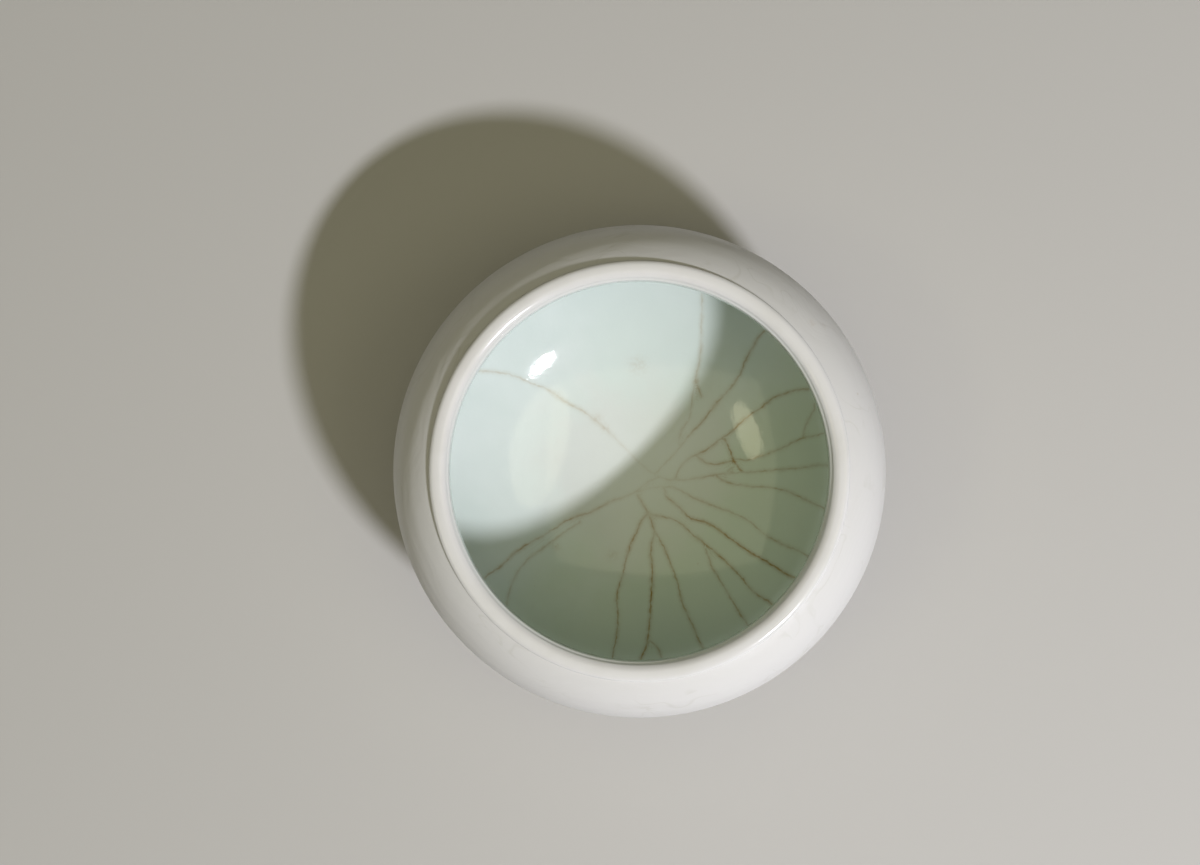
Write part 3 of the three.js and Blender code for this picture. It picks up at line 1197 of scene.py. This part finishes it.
class WASHER_OT_outside(bpy.types.Operator):
    """Coat the outside with white satin glaze, over faint turning ripples"""

    bl_idname = "washer.outside"
    bl_label = "Outside glaze"

    def execute(self, context):
        bowl = BowlProfile()
        glazed = firm_end(even_rows(chain(bowl.lower_outside(0), bowl.shoulder(0)), ROW_STEP))
        clay = even_rows(chain(bowl.lower_outside(GLAZE), bowl.shoulder(GLAZE)), BACK_STEP)
        outline = chain(glazed, clay[::-1])
        grid = revolve(outline, AROUND)
        self.add_ripples(grid, len(glazed))
        stains = sum(stain_share(grid / MM, *stain) for stain in OUTSIDE_STAINS)
        marks = {"level_place": self.level_place(grid, outline), "stain_share": stains}
        material = white_satin_material()
        add_piece("outside_glaze", grid, material, "exterior_glaze", False, marks)
        return {"FINISHED"}

    def level_place(self, grid, outline):
        """Each point's place on plan with, for its height, its distance along the outline."""
        along = np.broadcast_to(arc_length(outline)[:, None] * MM, grid.shape[:2])
        return np.dstack([grid[..., :2], along])

    def add_ripples(self, grid, rows):
        """Draw the surface in by ripples that wind up the wall, a sine of height and turn, which
        die out at the widest line and at both ends."""
        height = grid[:rows, :, 2] / MM
        turn = np.arange(AROUND) * (2 * math.pi / AROUND)
        winding = 1.3 * np.sin(turn) + np.sin(2 * turn + 1)
        ripple = 1 + np.sin(2 * math.pi * height / RIPPLE_SPACING + winding)
        share = np.linspace(0, 1, rows)[:, None]
        away = np.clip(np.abs(height - WIDEST_HEIGHT) / RIPPLE_FADE, 0, 1) ** 2
        ends = np.clip(share * (1 - share) * 12, 0, 1)
        depth = sizes().ripple / MM * ripple * away * ends / 2
        distance = np.hypot(grid[:rows, :, 0], grid[:rows, :, 1]) / MM
        grid[:rows, :, :2] *= (1 - depth / distance)[..., None]


class WASHER_OT_lip(bpy.types.Operator):
    """Coat the rolled lip with white gloss glaze, up to where the inside glaze laps over it"""

    bl_idname = "washer.lip"
    bl_label = "Lip glaze"

    def execute(self, context):
        bowl = BowlProfile()
        rows = even_rows(bowl.lip(0, 200), EDGE_STEP)
        outer = firm_end(bowl.with_seam(rows, LIP_BEAD))
        outline = chain(outer, bowl.lip(GLAZE, 24)[::-1], bowl.shoulder(GLAZE)[-1])
        seam = np.tile(bowl.seam_shade(outline)[:, None], AROUND)
        grid = revolve(outline, AROUND)
        material = lip_gloss_material()
        marks = {"seam_shade": seam}
        add_piece("lip_gloss_glaze", grid, material, "lip_glaze", False, marks)
        return {"FINISHED"}


class WASHER_OT_inside(bpy.types.Operator):
    """Line the inside with celadon glaze up over the lip's inner edge, and mark its cracks"""

    bl_idname = "washer.inside"
    bl_label = "Inside glaze"

    def execute(self, context):
        bowl = BowlProfile()
        wall = even_rows(chain(bowl.lower_inside(0), bowl.under_shoulder(0)), ROW_STEP)
        edge = even_rows(bowl.inner_edge(0, 100), EDGE_STEP)
        neck = even_rows(np.stack([wall[-1], edge[0]]), ROW_STEP)
        glazed = firm_end(chain(wall, neck, bowl.with_seam(edge, INSIDE_BEAD)))
        cracks = CrackField(glazed, AROUND_INSIDE)
        for tone, runs_on, plan in CRACKS:
            cracks.add(tone, runs_on, plan)
        clay = self.clay_side(bowl)
        seam = np.tile(bowl.seam_shade(glazed)[:, None], AROUND_INSIDE)
        from_top = arc_length(glazed[::-1])[::-1]
        white = EDGE_WHITE * (1 - smoothstep(from_top, *EDGE_THINS))
        thin = np.tile(white[:, None], AROUND_INSIDE)
        marks = {
            "crack_way": self.with_back(cracks.way, len(clay), CRACK_REACH),
            "crack_distance": self.with_back(cracks.distance, len(clay), CRACK_REACH),
            "crack_tone": self.with_back(cracks.worn_tone(), len(clay), 0),
            "stain_share": self.with_back(cracks.stains(), len(clay), 0),
            "seam_shade": self.with_back(seam, len(clay), 0),
            "edge_thin": self.with_back(thin, len(clay), 0),
        }
        grid = revolve(np.concatenate([clay, glazed[::-1]]), AROUND_INSIDE)
        material = celadon_crackle_material()
        add_piece("inside_glaze", grid, material, "interior_glaze", True, marks)
        return {"FINISHED"}

    def clay_side(self, bowl):
        """The coat's side against the clay, from the axis out and up to where the glazes meet."""
        wall = chain(bowl.lower_inside(GLAZE), bowl.under_shoulder(GLAZE))
        coarse = resample(wall, np.linspace(0, arc_length(wall)[-1], BACK_ROWS))
        return chain(coarse, bowl.inner_edge(GLAZE, 6))

    def with_back(self, values, rows, beyond):
        """A mark for the whole grid: the rows of the clay side have one value of their own."""
        back = np.full((rows, *values.shape[1:]), beyond)
        return np.concatenate([back, values[::-1]])


class WASHER_OT_base(bpy.types.Operator):
    """Glaze the underside within the foot ring"""

    bl_idname = "washer.base"
    bl_label = "Base glaze"

    def execute(self, context):
        rings = np.linspace(0, FOOT_INNER_RADIUS, BASE_RINGS)
        below = np.stack([rings, np.full(BASE_RINGS, FOOT_RECESS)], 1)
        outline = chain(below, [FOOT_INNER_RADIUS, FOOT_JOINT], [0, FOOT_JOINT])
        grid = revolve(outline, AROUND)
        add_piece("base_gloss_glaze", grid, base_gloss_material(), "base_glaze", True)
        return {"FINISHED"}


class WASHER_OT_stage(bpy.types.Operator):
    """Set the floor, the soft lamps and the camera almost straight above"""

    bl_idname = "washer.stage"
    bl_label = "Stage"

    floor_radius = 1.0
    floor_corners = 120
    backdrop = 0.6
    ceiling = 0.08
    backdrop_rise = (0.15, 0.45)
    image_width = 1200
    image_height = 865
    axis_x = 638.6
    axis_y = 470.4

    def execute(self, context):
        self.lay_floor()
        self.light_world()
        stage = context.scene.washer_stage
        key, weak = tuple(stage.key_light), tuple(stage.weak_light)
        self.add_lamp("key_lamp", -47.5, 44.1, 1.35, (0.18, 0.06), stage.key_power, key)
        self.add_lamp("lamp_right", -14, 59, 1.2, (0.78, 0.4), stage.right_power, weak)
        self.add_lamp("lamp_left", -160, 55, 1.2, (0.36, 0.17), stage.left_power, weak)
        self.add_lamp(
            "panel_overhead", 180, 82, 1.4, (1.7, 1.95), stage.overhead_power, weak, "RECTANGLE"
        )
        self.add_camera(stage)
        context.scene.view_settings.view_transform = "Standard"
        return {"FINISHED"}

    def lay_floor(self):
        turn = np.linspace(0, 2 * math.pi, self.floor_corners, endpoint=False)
        edge = self.floor_radius * np.stack([np.cos(turn), np.sin(turn), 0 * turn], 1)
        mesh = bpy.data.meshes.new("studio_floor")
        mesh.from_pydata(edge.tolist(), [], [range(self.floor_corners)])
        paint, tree, _place = start_material("matt_studio_floor", Roughness=0.9)
        shader = tree.nodes["Principled BSDF"]
        shader.inputs["Base Color"].default_value = (*colours().floor, 1)
        mesh.materials.append(paint)
        floor = bpy.data.objects.new("studio_floor", mesh)
        bpy.context.scene.collection.objects.link(floor)

    def light_world(self):
        """Light the scene weakly from all round. A camera or a reflection sees a pale backdrop
        instead."""
        stage = bpy.context.scene.washer_stage
        world = bpy.data.worlds.new("studio_world")
        bpy.context.scene.world = world
        world.use_nodes = True
        tree = world.node_tree
        ambient = [stage.ambient * channel for channel in stage.weak_light]
        light = add_node(
            tree,
            "ShaderNodeMix",
            {"Factor": self.seen_share(tree), "A": ambient, "B": self.backdrop_level(tree)},
            data_type="RGBA",
        )
        tree.links.new(first_output(light), tree.nodes["Background"].inputs["Color"])

    def seen_share(self, tree):
        """One for a ray from the camera, a mirror or a glass, and nothing for all other rays."""
        rays = add_node(tree, "ShaderNodeLightPath").outputs
        seen = add_node(
            tree,
            "ShaderNodeMath",
            {0: rays["Is Camera Ray"], 1: rays["Is Glossy Ray"]},
            operation="ADD",
        )
        return add_node(
            tree,
            "ShaderNodeMath",
            {0: seen, 1: rays["Is Transmission Ray"]},
            operation="ADD",
            use_clamp=True,
        )

    def backdrop_level(self, tree):
        """The backdrop is pale up to a low elevation and dark overhead, as a studio's is."""
        low, high = self.backdrop_rise
        direction = add_node(tree, "ShaderNodeTexCoord").outputs["Generated"]
        rise = add_node(tree, "ShaderNodeSeparateXYZ", {"Vector": direction}).outputs["Z"]
        levels = {"To Min": self.backdrop, "To Max": self.ceiling}
        return add_node(
            tree,
            "ShaderNodeMapRange",
            {"Value": rise, "From Min": low, "From Max": high, **levels},
            interpolation_type="SMOOTHSTEP",
        )

    def add_lamp(self, name, bearing, elevation, distance, size, power, tint, shape="ELLIPSE"):
        """An area lamp at a bearing from +X and an elevation, aimed at the bowl. Its size is how
        wide it is, level, and how high."""
        light = bpy.data.lights.new(name, "AREA")
        light.shape = shape
        light.size, light.size_y = size
        light.energy = power
        light.color = tint
        lamp = bpy.data.objects.new(name, light)
        turn, rise = math.radians(bearing), math.radians(elevation)
        level = distance * math.cos(rise)
        target = Vector((0, 0, BODY_HEIGHT / 2 * MM))
        offset = Vector((level * math.cos(turn), level * math.sin(turn), distance * math.sin(rise)))
        lamp.location = target + offset
        lamp.rotation_euler = (-offset).to_track_quat("-Z", "Y").to_euler()
        bpy.context.scene.collection.objects.link(lamp)

    def add_camera(self, stage):
        """A camera on the bowl's axis, tilted so that the axis falls where the photograph has
        it, off the middle of the image."""
        camera = bpy.data.cameras.new("camera")
        camera.lens = stage.camera_lens
        focal = stage.camera_lens / camera.sensor_width * self.image_width
        right = (self.axis_x - self.image_width / 2) / focal
        down = (self.axis_y - self.image_height / 2) / focal
        backward = Vector((right, -down, 1)).normalized()
        side = Vector((0, 1, 0)).cross(backward).normalized()
        turned = Matrix((side, backward.cross(side), backward)).transposed()
        holder = bpy.data.objects.new("camera", camera)
        holder.location = (0, 0, stage.camera_height)
        holder.rotation_euler = turned.to_euler()
        bpy.context.scene.collection.objects.link(holder)
        bpy.context.scene.camera = holder


class WASHER_PT_panel(bpy.types.Panel):
    """Lists the washer's settings and its building steps"""

    bl_label = "Brush washer"
    bl_idname = "WASHER_PT_panel"
    bl_space_type = "VIEW_3D"
    bl_region_type = "UI"
    bl_category = "Washer"

    def draw(self, context):
        scene = context.scene
        for group in (scene.washer_sizes, scene.washer_colours, scene.washer_stage):
            for name in group.__annotations__:
                self.layout.prop(group, name)
        for step in STEPS:
            self.layout.operator(step.bl_idname)


STEPS = (
    WASHER_OT_clay,
    WASHER_OT_foot,
    WASHER_OT_outside,
    WASHER_OT_lip,
    WASHER_OT_inside,
    WASHER_OT_base,
    WASHER_OT_stage,
)
CLASSES = (WasherSizes, WasherColours, WasherStage, *STEPS, WASHER_PT_panel)


def register():
    for kind in CLASSES:
        bpy.utils.register_class(kind)
    scene = bpy.types.Scene
    scene.washer_sizes = bpy.props.PointerProperty(type=WasherSizes)
    scene.washer_colours = bpy.props.PointerProperty(type=WasherColours)
    scene.washer_stage = bpy.props.PointerProperty(type=WasherStage)


def unregister():
    for name in ("washer_sizes", "washer_colours", "washer_stage"):
        delattr(bpy.types.Scene, name)
    for kind in reversed(CLASSES):
        bpy.utils.unregister_class(kind)


def main():
    register()
    for step in STEPS:
        group, name = step.bl_idname.split(".")
        getattr(getattr(bpy.ops, group), name)()


if __name__ == "__main__":
    main()
